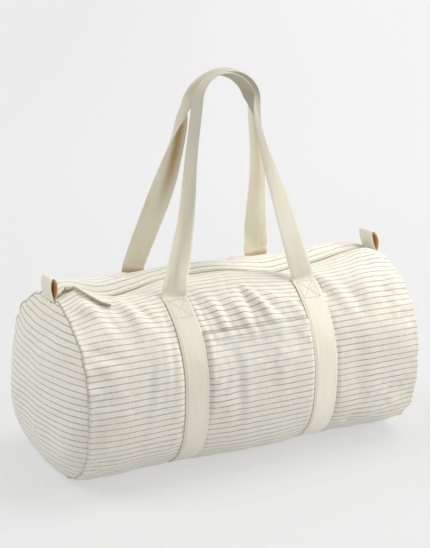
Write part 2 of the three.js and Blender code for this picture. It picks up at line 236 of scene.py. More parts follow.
# Folds of the canvas: x and s of the middle, direction, length, width and height. The direction
# is in degrees from the length of the bag towards the pocket.
FOLDS = [
    (17, 107, 68, 34, 7, 4.6),
    (-1, 113, 86, 34, 6, -3.8),
    (37, 116, 60, 28, 6.5, -3.0),
    (52, 106, 56, 26, 7, 2.2),
    (-262, 330, 20, 26, 5, -3.0),
    (-20, 116, 74, 30, 6, 2.8),
    (-40, 118, 80, 32, 5.5, -2.8),
    (-56, 112, 76, 32, 6, 2.8),
    (-77, 112, 84, 38, 5, -2.8),
    (72, 120, 60, 24, 6, 2.0),
    (-40, 226, 88, 60, 9, -1.3),
    (-28, 214, 86, 70, 9, 1.3),
    (-82, 180, 92, 60, 5, 1.3),
    (-58, 200, 84, 50, 8, -1.0),
    (30, 205, 82, 60, 12, 0.9),
    (-186, 86, 80, 40, 9, 4.4),
    (-162, 94, 62, 40, 9, -4.2),
    (-222, 94, 66, 38, 9, -3.2),
    (-140, 150, 96, 60, 5, -1.6),
    (-170, 200, 100, 60, 7, 1.2),
    (-240, 78, 40, 30, 9, 2.6),
    (-136, 110, 74, 50, 7, -1.6),
    (-246, 150, 30, 40, 9, -1.6),
    (-232, 200, 74, 60, 12, 1.2),
    (150, 100, 66, 50, 10, 2.0),
    (176, 116, 74, 44, 10, -1.8),
    (205, 100, 104, 44, 12, 2.2),
    (236, 120, 112, 44, 10, -1.6),
    (186, 230, 92, 70, 12, 0.9),
    (60, 30, 34, 34, 10, 2.2),
    (98, 44, 150, 30, 9, -2.2),
    (-210, 26, 24, 30, 9, 2.4),
    (-120, -60, 74, 46, 12, 2.0),
    (40, -70, 100, 54, 12, -1.8),
    (160, -90, 70, 60, 12, 2.2),
    (-200, -110, 100, 60, 12, -2.0),
    (10, -180, 84, 80, 13, 1.6),
    (-230, -200, 96, 70, 12, 1.4),
    (220, -220, 84, 70, 12, -1.4),
    (-60, -250, 80, 70, 12, 1.2),
    (90, -160, 96, 60, 9, -1.6),
]

soft_swell = ripple(14, 190 * MM, 60 * MM)
crumple = ripple(26, 60 * MM, 16 * MM)
crumple_where = ripple(8, 200 * MM, 90 * MM)


def folds(x, s):
    """Height of all the folds: each is a ridge with a shallow dip along its lower side."""
    total = np.zeros(np.broadcast(x, s).shape)
    for x0, s0, degrees, length, width, height in FOLDS:
        turn = math.radians(degrees)
        along = (x - x0 * MM) * math.cos(turn) + (s - s0 * MM) * math.sin(turn)
        across = -(x - x0 * MM) * math.sin(turn) + (s - s0 * MM) * math.cos(turn)
        wide = width * MM
        ridge = hump(across, wide) - FOLD_DIP * hump(across, wide, FOLD_DIP_AT * wide)
        total += height * MM * hump(along, length * MM) * ridge
    return total


def band_hold(x, s):
    """1 where a band holds the canvas down, 0 away from the bands."""
    distance = np.abs(np.abs(x) - BAND_X) - WEBBING_WIDTH / 2
    return (1 - smooth(0.4 * MM, 7 * MM, distance)) * smooth(LEAVE_ARC - 8 * MM, LEAVE_ARC, np.abs(s))


def fullness(x):
    """How far the canvas bellies out between the bands and the end seams."""
    edge = BAND_X + WEBBING_WIDTH / 2
    inner = 1 - np.clip(np.abs(x) / (BAND_X - WEBBING_WIDTH / 2), 0, 1) ** 4
    middle = (SEAM_X + edge) / 2
    outer = 1 - np.clip(np.abs(np.abs(x) - middle) / (SEAM_X - middle), 0, 1) ** 4
    return np.where(np.abs(x) < BAND_X, INNER_BELLY * inner, OUTER_BELLY * outer)


def loose_lift(x, s):
    """How far bellies, folds and crumples lift the canvas where bands and seams let it."""
    round_s = signed_arc(s)
    lift = fullness(x) * smooth(10 * MM, 60 * MM, np.abs(round_s))
    lift = lift + SWELL * soft_swell(x, s) + folds(x, round_s)
    lift = lift + CRUMPLE * crumple(x, s) * smooth(-0.6, 1.2, crumple_where(x, s))
    at_end = smooth(SEAM_X - 26 * MM, SEAM_X, np.abs(x))
    return lift * (1 - band_hold(x, s)) * (1 - 0.85 * at_end)


def seam_pucker(x, round_s):
    """The fine puckers right beside the end seams."""
    pucker = PUCKER * np.sin(round_s / (4.2 * MM) + 2 * np.sin(round_s / (37 * MM)))
    return pucker * smooth(SEAM_X - 14 * MM, SEAM_X - 5 * MM, np.abs(x))


def seam_gather(x, round_s):
    """The softer gathers that lead up to the end seams."""
    gather = GATHER * np.sin(round_s / (6.5 * MM) + 1.5 * np.sin(round_s / (29 * MM)) + x / (24 * MM))
    return gather * smooth(SEAM_X - 48 * MM, SEAM_X - 12 * MM, np.abs(x))


def slumped_shoulders(x, round_s):
    """How far both shoulders of the left end sink below the full section."""
    near_seam = smooth(236 * MM, SEAM_X, -x)
    return SHOULDER_SLUMP * near_seam * hump(np.abs(round_s), 38 * MM, 82 * MM)


def sunk_top(x, round_s):
    """How far the top sinks: the zip's channel, its slumped stretches and the ends of the bag."""
    channel = ZIP_DIP * np.exp(-((round_s / ZIP_DIP_REACH) ** 4))
    lip = 0.9 * MM * (1 - smooth(SLOT_HALF, SLOT_HALF + 3 * MM, np.abs(round_s)))
    slump = zip_sag(x) * hump(round_s, 46 * MM) + top_droop(x) * hump(round_s, 62 * MM)
    return channel + lip + slump + slumped_shoulders(x, round_s)


def end_tuck(x, round_s):
    """How far the left end leans in towards the zip."""
    return END_TUCK * smooth(190 * MM, SEAM_X, -x) * hump(round_s, 95 * MM)


def barrel_point(x, s, offset=0.0):
    """Places of the canvas at x and s, moved outwards by offset."""
    x, s = np.broadcast_arrays(x, s)
    round_s = signed_arc(s)
    held = band_hold(x, s)
    slid = round_s + zip_shift(x) * hump(round_s, 75 * MM)
    lift = loose_lift(x, s) + seam_gather(x, round_s)
    lift = lift * smooth(3 * MM, 24 * MM, np.abs(round_s))
    lift = lift + seam_pucker(x, round_s) - BAND_PRESS * held - sunk_top(x, round_s)
    lift = lift - SEAM_DEPTH * smooth(SEAM_X - 2.2 * MM, SEAM_X, np.abs(x))
    y, z = on_section(slid, lift + offset)
    floor = LOWEST_CANVAS + (BASE - LOWEST_CANVAS) * held - np.minimum(offset, 0)
    return stacked(x + end_tuck(x, round_s), y, np.maximum(z, floor))


# ---- Meshes ----
def mesh_object(name, points, faces, uv):
    """A mesh with smooth shading, its cloth coordinates in metres, and crisp edges kept."""
    mesh = bpy.data.meshes.new(name)
    mesh.from_pydata(np.asarray(points, float).reshape(-1, 3).tolist(), [], faces)
    layer = mesh.uv_layers.new(name="cloth")
    corner_vertex = np.zeros(len(mesh.loops), np.int32)
    mesh.loops.foreach_get("vertex_index", corner_vertex)
    layer.data.foreach_set("uv", np.asarray(uv, np.float32).reshape(-1, 2)[corner_vertex].ravel())
    mesh.shade_smooth()
    mesh.set_sharp_from_angle(angle=math.radians(50))
    made = bpy.data.objects.new(name, mesh)
    bpy.context.scene.collection.objects.link(made)
    return made


def grid_faces(rows, columns, closed=False, flip=False):
    faces = []
    for r in range(rows - 1):
        for c in range(columns if closed else columns - 1):
            a, b = r * columns + c, r * columns + (c + 1) % columns
            quad = (a, b, b + columns, a + columns)
            faces.append(quad[::-1] if flip else quad)
    return faces


def tube_faces(rows, columns):
    """Faces round a closed tube, with one over each end."""
    ends = [tuple(range(columns))[::-1], tuple(range((rows - 1) * columns, rows * columns))]
    return grid_faces(rows, columns, closed=True) + ends


def cloth_grid(name, points, uv, flip=False):
    return mesh_object(name, points, grid_faces(*points.shape[:2], flip=flip), uv)


# Two vertex attributes reach the cloth materials, both painted light: the first is the share of a
# material's painted shade colour, and the second is the webbing's painted shading, darker where
# positive and lighter where negative.
def tint(piece, shares, name="warm"):
    """Gives each vertex its value of an attribute that the cloth materials read."""
    layer = piece.data.attributes.new(name, "FLOAT", "POINT")
    layer.data.foreach_set("value", np.asarray(shares, np.float32).ravel())


def thicken(piece, thickness):
    """Gives a sheet its thickness, inwards."""
    solidify = piece.modifiers.new("thickness", "SOLIDIFY")
    solidify.thickness = thickness
    solidify.offset = -1.0


def finish_piece(piece, material, body=None, replaced=()):
    piece.data.materials.clear()
    piece.data.materials.append(material)
    if body:
        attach(piece, body)
    if replaced:
        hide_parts(*replaced)


# ---- Material nodes ----
class Nodes:
    """The node tree of one fabric, with short calls for the nodes it needs."""

    def __init__(self, name, roughness, sheen=0.0, metallic=0.0):
        self.material = bpy.data.materials.new(name)
        self.material.use_nodes = True
        self.tree = self.material.node_tree
        self.shader = self.tree.nodes["Principled BSDF"]
        finish = {
            "Roughness": roughness, "Sheen Weight": sheen, "Sheen Roughness": 0.5,
            "Metallic": metallic, "Specular IOR Level": 0.5 if metallic else 0.25,
        }
        for key, value in finish.items():
            self.shader.inputs[key].default_value = value
        uv = self.add("ShaderNodeUVMap")
        uv.uv_map = "cloth"
        apart = self.add("ShaderNodeSeparateXYZ", {0: uv.outputs[0]})
        self.u, self.v = apart.outputs[0], apart.outputs[1]

    def add(self, kind, inputs=None, **settings):
        node = self.tree.nodes.new(kind)
        for key, value in settings.items():
            setattr(node, key, value)
        for key, value in (inputs or {}).items():
            self.feed(node.inputs[key], value)
        return node

    def feed(self, socket, value):
        if isinstance(value, bpy.types.NodeSocket):
            self.tree.links.new(value, socket)
        else:
            socket.default_value = value

    def maths(self, operation, *values):
        node = self.add("ShaderNodeMath", operation=operation)
        for socket, value in zip(node.inputs, values):
            self.feed(socket, value)
        return node.outputs[0]

    def times(self, first, *others):
        for other in others:
            first = self.maths("MULTIPLY", first, other)
        return first

    def remap(self, value, low, high, to_low=0.0, to_high=1.0):
        inputs = {0: value, 1: low, 2: high, 3: to_low, 4: to_high}
        return self.add("ShaderNodeMapRange", inputs, interpolation_type="SMOOTHSTEP").outputs[0]

    def noise(self, scale_u, scale_v, detail=3.0, seed=0.0):
        """Noise over the cloth, with its own number of cells a metre each way."""
        scaled = {0: self.times(self.u, scale_u), 1: self.times(self.v, scale_v), 2: seed}
        place = self.add("ShaderNodeCombineXYZ", scaled)
        inputs = {"Vector": place.outputs[0], "Scale": 1.0, "Detail": detail}
        return self.add("ShaderNodeTexNoise", inputs).outputs[0]

    def wave(self, value, pitch, phase=0.0):
        """A sine of about -1 to 1 with that pitch in metres."""
        angle = self.maths("MULTIPLY_ADD", value, 2 * math.pi / pitch, phase)
        return self.maths("SINE", angle)

    def mix(self, share, first, second):
        node = self.add("ShaderNodeMix", data_type="RGBA")
        self.feed(node.inputs[0], share)
        self.feed(node.inputs[6], first)
        self.feed(node.inputs[7], second)
        return node.outputs[2]

    def shade(self, colour, amount):
        """The colour made brighter or darker by a factor."""
        inputs = {"Color": colour, "Value": amount}
        return self.add("ShaderNodeHueSaturation", inputs).outputs[0]

    def attribute(self, name):
        return self.add("ShaderNodeAttribute", attribute_name=name).outputs["Fac"]

    def done(self, colour, height=None, distance=0.3 * MM, strength=1.0):
        self.feed(self.shader.inputs["Base Color"], colour)
        if height is not None:
            inputs = {"Strength": strength, "Distance": distance, "Height": height}
            bump = self.add("ShaderNodeBump", inputs)
            self.feed(self.shader.inputs["Normal"], bump.outputs[0])
        return self.material


def linear(red, green, blue):
    """A colour given as it looks on a screen, from 0 to 255."""
    parts = [c / 255 for c in (red, green, blue)]
    return (*[c / 12.92 if c < 0.04 else ((c + 0.055) / 1.055) ** 2.4 for c in parts], 1.0)


ECRU = linear(225, 222, 209)
ECRU_WARM = linear(216, 206, 178)
ECRU_AGED = linear(225, 221, 206)
SELVEDGE = linear(238, 234, 218)
STRIPE = linear(149, 151, 146)
WEBBING_COLOUR = linear(230, 226, 212)
SHADOW_BROWN = linear(184, 150, 92)
PAINTED_SHADE_GREY = linear(128, 118, 96)


def striped_canvas():
    """Slubby ecru canvas with woven stripes; painted shade greys it at the end seams, beside the
    bands and along the pocket's top edge.
    """
    cloth = Nodes("striped_canvas", roughness=0.92, sheen=0.25)
    wobble = cloth.times(cloth.noise(60, 10, 2.0, 3.0), 0.5 * MM)
    line = cloth.maths("DIVIDE", cloth.maths("ADD", cloth.v, wobble), STRIPE_PITCH)
    from_line = cloth.maths("ABSOLUTE", cloth.maths("SUBTRACT", cloth.maths("FRACT", line), 0.5))
    from_line = cloth.times(from_line, STRIPE_PITCH)
    stripe = cloth.remap(from_line, STRIPE_WIDTH * 0.32, STRIPE_WIDTH * 0.72, 1.0, 0.0)
    dashes = cloth.remap(cloth.noise(420, 240, 2.0, 1.0), 0.30, 0.62, 0.5, 1.0)
    fade = cloth.remap(cloth.noise(14, 14, 2.0, 5.0), 0.3, 0.7, 0.72, 1.0)
    stripe = cloth.times(stripe, dashes, fade)
    slub_along = cloth.noise(60, 900, 2.0, 2.0)
    slub_across = cloth.noise(900, 60, 2.0, 4.0)
    slubs = cloth.maths("ADD", slub_along, slub_across)
    blotch = cloth.noise(9, 9, 3.0, 6.0)
    tone = cloth.mix(cloth.remap(blotch, 0.35, 0.7), ECRU, ECRU_AGED)
    tone = cloth.shade(tone, cloth.remap(slubs, 0.7, 1.3, 0.93, 1.05))
    colour = cloth.mix(stripe, tone, STRIPE)
    # Painted shade: the shade grey, mixed in by each vertex's share of painted shade.
    colour = cloth.mix(cloth.attribute("warm"), colour, PAINTED_SHADE_GREY)
    weave = cloth.times(cloth.wave(cloth.u, YARN_PITCH), cloth.wave(cloth.v, YARN_PITCH))
    height = cloth.maths("MULTIPLY_ADD", weave, 0.35, slubs)
    height = cloth.maths("MULTIPLY_ADD", cloth.noise(70, 95, 3.0, 8.0), 4.0, height)
    return cloth.done(colour, height, 0.22 * MM, 0.7)


def webbing_cloth(name, colour, painted_shade_colour=SHADOW_BROWN):
    """Ribbed cotton webbing with a firm selvedge; a painted shade colour tints its sheltered folds,
    and painted shading darkens or lightens it.
    """
    cloth = Nodes(name, roughness=0.9, sheen=0.35)
    streak = cloth.noise(520, 14, 3.0, 1.0)
    grain = cloth.noise(1000, 1000, 2.0, 2.0)
    blotch = cloth.noise(22, 9, 3.0, 3.0)
    pale = cloth.shade(colour, cloth.remap(streak, 0.3, 0.7, 0.95, 1.04))
    tone = cloth.mix(cloth.remap(blotch, 0.3, 0.75, 0.0, 0.45), pale, ECRU_WARM)
    from_edge = cloth.maths("SUBTRACT", WEBBING_WIDTH / 2, cloth.maths("ABSOLUTE", cloth.u))
    selvedge = cloth.remap(from_edge, 1.2 * MM, 2.2 * MM, 1.0, 0.0)
    tone = cloth.mix(cloth.times(selvedge, 0.35), tone, SELVEDGE)
    # Painted shade: the shade colour mixed in by share, then painted shading as a brightness factor.
    tone = cloth.mix(cloth.attribute("warm"), tone, painted_shade_colour)
    tone = cloth.shade(tone, cloth.maths("SUBTRACT", 1.0, cloth.attribute("dim")))
    zigzag = cloth.maths("PINGPONG", cloth.u, 4.75 * MM)
    twill = cloth.wave(cloth.maths("MULTIPLY_ADD", zigzag, 1.2, cloth.v), 1.7 * MM)
    ribs = cloth.wave(cloth.u, RIB_PITCH)
    height = cloth.maths("MULTIPLY_ADD", twill, 0.45, cloth.maths("MULTIPLY_ADD", ribs, 0.35, grain))
    return cloth.done(tone, height, 0.25 * MM, 0.75)


def plain_cotton(name, colour, roughness=0.9):
    cloth = Nodes(name, roughness=roughness, sheen=0.3)
    grain = cloth.noise(900, 900, 2.0, 1.0)
    tone = cloth.shade(colour, cloth.remap(cloth.noise(160, 160, 3.0, 2.0), 0.3, 0.7, 0.92, 1.05))
    # Painted shade: the shade grey, which only the puller's lower edge is given.
    tone = cloth.mix(cloth.attribute("warm"), tone, PAINTED_SHADE_GREY)
    return cloth.done(tone, grain, 0.15 * MM, 0.6)


def solid_finish(name, colour, roughness, metallic=0.0):
    """A finish for pieces without cloth coordinates, with fine wear in its roughness."""
    made = Nodes(name, roughness=roughness, metallic=metallic)
    place = made.add("ShaderNodeTexCoord").outputs["Object"]
    inputs = {"Vector": place, "Scale": 900.0, "Detail": 4.0}
    grain = made.add("ShaderNodeTexNoise", inputs).outputs[0]
    rough = made.remap(grain, 0.3, 0.7, roughness * 0.8, min(1.0, roughness * 1.3))
    made.feed(made.shader.inputs["Roughness"], rough)
    tone = made.shade(colour, made.remap(grain, 0.3, 0.7, 0.94, 1.05))
    return made.done(tone, grain, 0.05 * MM, 0.4)


canvas = striped_canvas()
webbing = webbing_cloth("ecru_webbing", WEBBING_COLOUR)
handle_webbing = webbing_cloth("handle_webbing", linear(228, 223, 203))
# The tab's second colour is the painted shade inside its loop.
tab_webbing = webbing_cloth("tab_webbing", linear(228, 225, 208), linear(222, 172, 100))
binding = plain_cotton("binding_tape", linear(220, 215, 200))
zip_cloth = plain_cotton("zip_tape_cloth", linear(232, 222, 192))
puller_cotton = plain_cotton("puller_cotton", linear(214, 208, 186))
thread = plain_cotton("sewing_thread", linear(206, 201, 184), 0.75)
nylon = solid_finish("nylon_coil", linear(234, 222, 186), 0.45)
metal = solid_finish("satin_metal", linear(196, 193, 184), 0.32, 0.95)


# ---- Barrel and ends ----
# Painted shade beside the bands: the left edges lie in shadow, so they are painted darker than the
# right.
BAND_LEFT_EDGE_SHADE = 0.85  # how dark the canvas is at the left edge of a band, and at the right edge
BAND_RIGHT_EDGE_SHADE = 0.3


def seam_painted_shade(s):
    """Painted shade in the end seams, darkest where the top of the bag sinks against them."""
    return 0.85 - 0.68 * smooth(170 * MM, 250 * MM, arc_from_top(s))


def painted_crease_shade(x, s):
    """Painted shade on the barrel's canvas: at the end seams, along the bands' edges and along the
    pocket's top edge.
    """
    at_seam = seam_painted_shade(s) * (1 - smooth(0.3 * MM, 1.5 * MM, SEAM_X - np.abs(x)))
    across_band = x - np.sign(x) * BAND_X
    from_band = np.abs(np.abs(across_band) - WEBBING_WIDTH / 2)
    deepest = np.where(across_band < 0, BAND_LEFT_EDGE_SHADE, BAND_RIGHT_EDGE_SHADE)
    at_band = deepest * hump(from_band, 0.9 * MM) * smooth(0, 8 * MM, arc_from_top(s) - LEAVE_ARC)
    over_pocket = 1 - smooth(BAND_X - 26 * MM, BAND_X - 20 * MM, np.abs(x))
    at_pocket = 0.22 * hump(s - pocket_top(x), 2.6 * MM) * over_pocket
    return np.maximum(np.maximum(at_seam, at_band), at_pocket)


def barrel():
    finer = np.linspace(-4, 4, 9) * MM
    edges = [side * BAND_X + edge * WEBBING_WIDTH / 2 for side in (-1, 1) for edge in (-1, 1)]
    extra = [edge + finer for edge in edges] + [side * (SEAM_X - finer[4:]) for side in (-1, 1)]
    xs = np.unique(np.concatenate([np.linspace(-SEAM_X, SEAM_X, 241), *extra]).round(5))
    around = np.linspace(SLOT_HALF, 2 * HALF_ROUND - SLOT_HALF, 340)
    x, s = np.meshgrid(xs, around, indexing="ij")
    piece = cloth_grid("barrel_canvas", barrel_point(x, s), stacked(x, s), flip=True)
    tint(piece, painted_crease_shade(x, s))
    thicken(piece, CANVAS)
    finish_piece(piece, canvas, "root", ["barrel_panel"])


END_MIDDLE = BASE + HALF_HEIGHT
LEFT_SLUMP = 1.0  # the left end's canvas has settled outwards, and the right end's hardly
RIGHT_SLUMP = 0.3
END_SETTLED = 9 * MM  # how far a slumped end bulges low down, and how far it draws in at the top
END_DRAWN = 6 * MM
end_swell = ripple(12, 170 * MM, 50 * MM)
end_crumple = ripple(18, 46 * MM, 15 * MM)


def end_point(side, share, s):
    """Places of a round end: share runs from 0 at its middle to 1 at the seam."""
    seam_x = side * SEAM_X
    rim = barrel_point(seam_x, s, SEAM_DEPTH * (1 - share**45))
    plain_y, plain_z = on_section(signed_arc(s))
    y = plain_y * share + (rim[..., 1] - plain_y) * share**7
    z = END_MIDDLE + (plain_z - END_MIDDLE) * share + (rim[..., 2] - plain_z) * share**7
    swell = 1.6 * MM * end_swell(y * side, z) + 0.35 * MM * end_crumple(y * side, z)
    slumped = LEFT_SLUMP if side < 0 else RIGHT_SLUMP
    settled = END_SETTLED * hump(z, 74 * MM, 108 * MM) - END_DRAWN * smooth(180 * MM, 265 * MM, z)
    slump = slumped * settled
    fuller = slumped * 2.6 * (1 - smooth(30 * MM, 150 * MM, z))
    dome = END_BULGE * (1 - share ** (2.4 + fuller)) + (swell + slump) * (1 - share**5)
    gathers = 0.7 * MM * np.sin(s / (5.1 * MM) + 3 * np.sin(s / (61 * MM)))
    dome = dome + gathers * smooth(0.86, 0.96, share) * (1 - smooth(0.98, 1.0, share))
    return stacked(seam_x + side * dome + (rim[..., 0] - seam_x) * share**2, y, z)


def end_panel(side, word):
    """A round end: rings of canvas from near its middle out to the seam."""
    shares = np.concatenate([np.linspace(0.02, 0.9, 52), np.linspace(0.905, 1, 20)])
    around = np.linspace(0, 2 * HALF_ROUND, 301)[:-1]
    share, s = np.meshgrid(shares, around, indexing="ij")
    points = end_point(side, share, s)
    rows, columns = share.shape
    faces = grid_faces(rows, columns, closed=True, flip=side > 0)
    cap = tuple(range(columns))
    faces.append(cap if side > 0 else cap[::-1])
    uv = stacked(points[..., 1], points[..., 2] + 3.2 * MM)
    piece = mesh_object(f"end_canvas_{word}", points, faces, uv)
    # Painted shade in the groove of the end seam.
    tint(piece, seam_painted_shade(s) * smooth(0.99, 0.996, share))
    thicken(piece, CANVAS)
    finish_piece(piece, canvas, "root", [f"end_panel_{word}"])


# Corners of the bound seam allowance: x from the seam and height, in millimetres.
BINDING_SECTION = [(-0.6, -2.4), (-3.2, -2.4), (-3.2, -11.5), (-0.6, -11.5)]


def seam_binding(side, word):
    """The bound seam allowance inside an end seam."""
    around = np.linspace(0, 2 * HALF_ROUND, 241)[:-1]
    rings = []
    for inset, depth in BINDING_SECTION:
        ring = barrel_point(side * SEAM_X, around, depth * MM)
        ring[:, 0] += side * inset * MM
        rings.append(ring)
    points = np.stack(rings + rings[:1])
    rows, columns = points.shape[:2]
    faces = grid_faces(rows, columns, closed=True, flip=side < 0)
    u, v = np.meshgrid(np.arange(rows) * 4 * MM, around, indexing="ij")
    piece = mesh_object(f"seam_allowance_{word}", points, faces, stacked(u, v))
    weld = piece.modifiers.new("weld", "WELD")
    weld.merge_threshold = 0.01 * MM
    finish_piece(piece, binding, "root", [f"seam_binding_{word}"])


# ---- Straps ----
ACROSS = np.linspace(-1, 1, 17)  # places across a strap, from edge to edge


def strap(name, middle, across, cup, along, warm=None, width=WEBBING_WIDTH, thick=WEBBING):
    """A flat strap on a line of middles: across is its width direction, cup how far its edges
    curl, along the length so far, and the pair of arrays after it, if given, the painted shade of its
    upper and its lower face."""
    tangent = tangents(middle)
    across = unit(across - tangent * np.sum(across * tangent, -1, keepdims=True))
    up = np.cross(across, tangent)
    rim = np.maximum((1 - np.abs(ACROSS) ** 12) ** 0.5, 0.25)
    curl = cup[:, None] * (np.abs(ACROSS) ** 1.6 - 0.4) * width / 2
    reach = ACROSS * (1 - 0.6 * cup[:, None] ** 2) * width / 2
    upper, lower = [
        middle[:, None] + across[:, None] * reach[..., None]
        + up[:, None] * (curl + sign * thick / 2 * rim)[..., None]
        for sign in (1, -1)
    ]
    ring = np.concatenate([upper, lower[:, ::-1]], axis=1)
    rows, columns = ring.shape[:2]
    faces = grid_faces(rows, columns, closed=True)
    for j in range(len(ACROSS) - 1):
        quad = (j, j + 1, columns - 2 - j, columns - 1 - j)
        faces.append(quad[::-1])
        faces.append(tuple(k + (rows - 1) * columns for k in quad))
    wide = np.concatenate([ACROSS, ACROSS[::-1]]) * width / 2
    piece = mesh_object(name, ring, faces, stacked(wide[None], along[:, None]))
    # Painted shade on the upper and the lower face, if given.
    if warm:
        tint(piece, np.concatenate([warm[0], warm[1][:, ::-1]], axis=1))
    return piece


def paint_shading_along(piece, shading_per_row):
    """Sets a strap's painted shading, one value for each of its rows: darker where positive, lighter
    where negative.
    """
    per_row = len(piece.data.vertices) // len(shading_per_row)
    tint(piece, np.repeat(shading_per_row, per_row), "dim")


def band_sway(side, s):
    """How far a band wanders off its straight line."""
    return 0.5 * MM * np.sin(s / (47 * MM) + side)


def band(side, word):
    """The webbing that runs under the barrel from one handle to the other."""
    start = LEAVE_ARC + 4 * MM
    s = np.linspace(start, 2 * HALF_ROUND - start, 340)
    y, z = on_section(s, BAND_OFFSET)
    middle = stacked(side * BAND_X + band_sway(side, s), y, np.maximum(z, WEBBING / 2))
    across = np.broadcast_to([1.0, 0, 0], middle.shape)
    piece = strap(f"webbing_band_{word}", middle, across, np.full(len(s), -0.008), s)
    # Painted shading: the left band is painted darker near the handles' feet, and the right band
    # lighter away from them.
    near_foot = 1 - smooth(60 * MM, 170 * MM, arc_from_top(s))
    paint_shading_along(piece, 0.13 * near_foot if side < 0 else -0.12 * (1 - near_foot))
    finish_piece(piece, webbing, "root", [f"band_{word}"])


# ---- Handles ----
JOINTS = {joint["name"]: joint for joint in frame["joints"]}
TURN_STEPS = 70
ARCH_STEPS = 64
FOOT_STEPS = 3
FOLD_STEPS = 16  # the curve from the band's end up into the leg
FOLD_PULL = 8 * MM

# Each handle's path in its own plane: apex is y and z, the arch's circle is given by x and
# radius, roll tips the strap over at the top, sway bows the legs along the bag, and slow_leg is
# the leg whose turn comes late.
HANDLES = {
    "front": dict(side=-1, apex=(-8, 572.5), arch_x=3.5, radius=45, roll=0, sway=0, slow_leg=1),
    "rear": dict(side=1, apex=(8, 575), arch_x=14.5, radius=60, roll=-20, sway=7, slow_leg=-1),
}


def quick_turn(share):
    """How far a strap has turned edge-on, from 0 to 1, where it turns soon after the foot."""
    return 1 - (1 - share) ** 3


def front_slow_turn(share):
    return 0.72 * share**1.2 + 0.28 * share**12


def rear_slow_turn(share):
    return share**6 - 0.12 * np.sin(math.pi * share)


SLOW_TURNS = {"front": front_slow_turn, "rear": rear_slow_turn}

# Painted shading of the handle webbing: shares of painted shade at each leg's foot and top, growing
# towards the grip; the rear right leg's negative shares paint it lighter.
PAINTED_LEG_SHADING = {
    ("front", -1): (0.0, 0.32),
    ("front", 1): (0.07, 0.38),
    ("rear", -1): (0.0, 0.12),
    ("rear", 1): (-0.24, -0.08),
}
# Painted shade over the grip.
GRIP_PAINTED_SHADING = 0.31


class Handle:
    """The path of one handle: places, width directions and where its joints are."""

    def __init__(self, name):
        facts = HANDLES[name]
        self.name, self.side, self.slow_leg = name, facts["side"], facts["slow_leg"]
        self.roll = math.radians(facts["roll"])
        self.sway = facts["sway"] * MM
        self.base = np.array(JOINTS[f"{name}_handle_fold"]["pos_m"][1:])
        rise = np.array(facts["apex"]) * MM - self.base
        self.height = np.linalg.norm(rise)
        self.up = rise / self.height
        self.outwards = np.array([0, -self.up[1], self.up[0]]) * -self.side
        self.radius = facts["radius"] * MM
        self.centre = np.array([facts["arch_x"] * MM, self.height - self.radius])
        knee = np.array(JOINTS[f"{name}_handle_bend"]["pos_m"][1:])
        self.knee = float((knee - self.base) @ self.up)

    def in_space(self, flat):
        return stacked(flat[..., 0], flat[..., 1] * self.up[0], flat[..., 1] * self.up[1])

    def leg(self, side):
        """Foot, direction and length of a straight leg, and its outward arch angle."""
        foot = np.array([side * BAND_X, 0])
        reach = self.centre - foot
        bend = -side * math.asin(self.radius / np.linalg.norm(reach))
        length = math.sqrt(reach @ reach - self.radius**2)
        c, s = math.cos(bend), math.sin(bend)
        direction = unit(np.array([c * reach[0] - s * reach[1], s * reach[0] + c * reach[1]]))
        touch = foot + direction * length - self.centre
        return foot, direction, length, math.atan2(touch[1], touch[0])

    def frame_at(self, flat, direction, turn, travel):
        """Places and width directions from the path in the plane."""
        middle = self.in_space(flat) + np.array([0, *self.base])
        sideways = stacked(direction[..., 1], -direction[..., 0]) * travel
        angle = (turn * math.pi / 2)[:, None]
        roll = (self.roll * smooth(0.5, 1.0, turn))[:, None]
        upright = np.array([0, *self.up])
        tipped = self.outwards * np.cos(roll) + upright * np.sin(roll)
        return middle, self.in_space(sideways) * np.cos(angle) + tipped * np.sin(angle)

    def leg_points(self, side, along):
        foot, direction, length, _ = self.leg(side)
        turner = SLOW_TURNS[self.name] if side == self.slow_leg else quick_turn
        turn = turner(along / length)
        flat = foot + direction * along[:, None]
        flat[:, 0] += self.sway * np.sin(math.pi * along / length) ** 2
        directions = np.broadcast_to(direction, flat.shape)
        return self.frame_at(flat, directions, turn, -side)

    def arch_points(self, count):
        start, end = self.leg(-1)[3], self.leg(1)[3]
        angle = np.linspace(start, end, count)
        radial = stacked(np.cos(angle), np.sin(angle))
        direction = stacked(radial[:, 1], -radial[:, 0])
        return self.frame_at(self.centre + radial * self.radius, direction, np.ones(count), 1)


def cup_of(handle, side, share):
    """How far the strap curls lengthwise on its way up a leg."""
    if side == handle.slow_leg:
        most = 0.7 if handle.side > 0 else 0.3
        return most * smooth(0.3, 0.85, share) * (1 - 0.4 * smooth(0.9, 1.0, share))
    most = 0.35 if handle.side > 0 else 0.5
    return most * smooth(0.0, 0.12, share) * (1 - 0.85 * smooth(0.35, 0.75, share))


def curl_sign(handle):
    """The edges curl towards the zip, whichever face of the strap that is."""
    return -1 if handle.side < 0 else 1


def leg_painted_shade(handle, side, share, runs=None):
    """Painted shade on the two faces of a leg: a brownish shadow in its cupped fold, and where the
    rear legs meet the canvas at their foot.
    """
    rising = share[:, None]
    late = side == handle.slow_leg
    middle = 0.05 + 0.5 * rising if late else 0.0
    fades = smooth(0.3, 0.7, rising) * (1 - smooth(0.85, 1.0, rising))
    crease = hump(ACROSS, 0.34, middle) * fades
    inner = crease * (0.0 if handle.side < 0 else 0.95 if late else 0.4)
    if handle.side > 0 and runs is not None:
        inner = inner + 0.7 * hump(runs, 4.5 * MM, 8 * MM)[:, None]
    outer = np.zeros_like(inner)
    return (outer, inner) if handle.side < 0 else (inner, outer)


def leg_painted_shading(handle, side, share):
    """Painted shading along a leg's way up: how much darker its webbing is painted, and lighter where
    negative.
    """
    foot, top = PAINTED_LEG_SHADING[handle.name, side]
    return foot + (top - foot) * smooth(0.2, 0.9, share)


